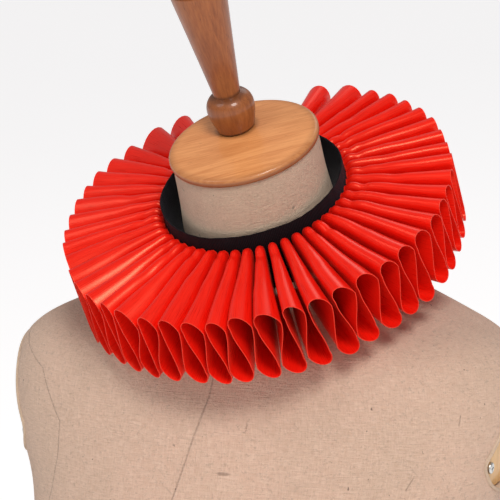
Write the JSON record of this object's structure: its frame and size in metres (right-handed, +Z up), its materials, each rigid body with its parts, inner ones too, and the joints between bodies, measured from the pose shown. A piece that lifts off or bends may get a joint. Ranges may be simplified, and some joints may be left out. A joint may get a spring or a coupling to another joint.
{
  "type": "ruff collar on a dress form",
  "caption": "Red satin ruff collar in figure-eight pleats on a black grosgrain neckband, worn on a linen-covered dress form with wooden neck cap, turned handle and armhole plates.",
  "frame": {"origin": "middle of the form's flat base", "axes": "+Z up; the form's front faces -Y and its own left side is +X"},
  "size_m": [0.3618, 0.2865, 0.693],
  "materials": {
    "linen": "natural linen cover, plain weave",
    "cap_wood": "varnished pale beech",
    "handle_wood": "varnished, stained reddish brown",
    "plate_wood": "pale varnished plywood",
    "screw_steel": "bright zinc-plated steel",
    "grosgrain": "black ribbed ribbon",
    "hook_tape": "black hook-and-loop tape",
    "satin": "bright red double-faced satin ribbon"
  },
  "bodies": {
    "root": {"form_body": "linen", "neck_cap": "cap_wood", "handle": "handle_wood", "arm_plate_right": "plate_wood", "arm_plate_left": "plate_wood", "screw_right_front": "screw_steel", "screw_right_back": "screw_steel", "screw_left_front": "screw_steel", "screw_left_back": "screw_steel", "neckband": "grosgrain", "closure_pad": "hook_tape", "frill_1": "satin", "frill_2": "satin", "frill_3": "satin", "frill_4": "satin", "frill_5": "satin", "frill_6": "satin", "frill_7": "satin", "frill_8": "satin", "frill_9": "satin", "frill_10": "satin", "frill_11": "satin", "frill_12": "satin", "frill_13": "satin", "frill_14": "satin"}
  },
  "joints": []
}
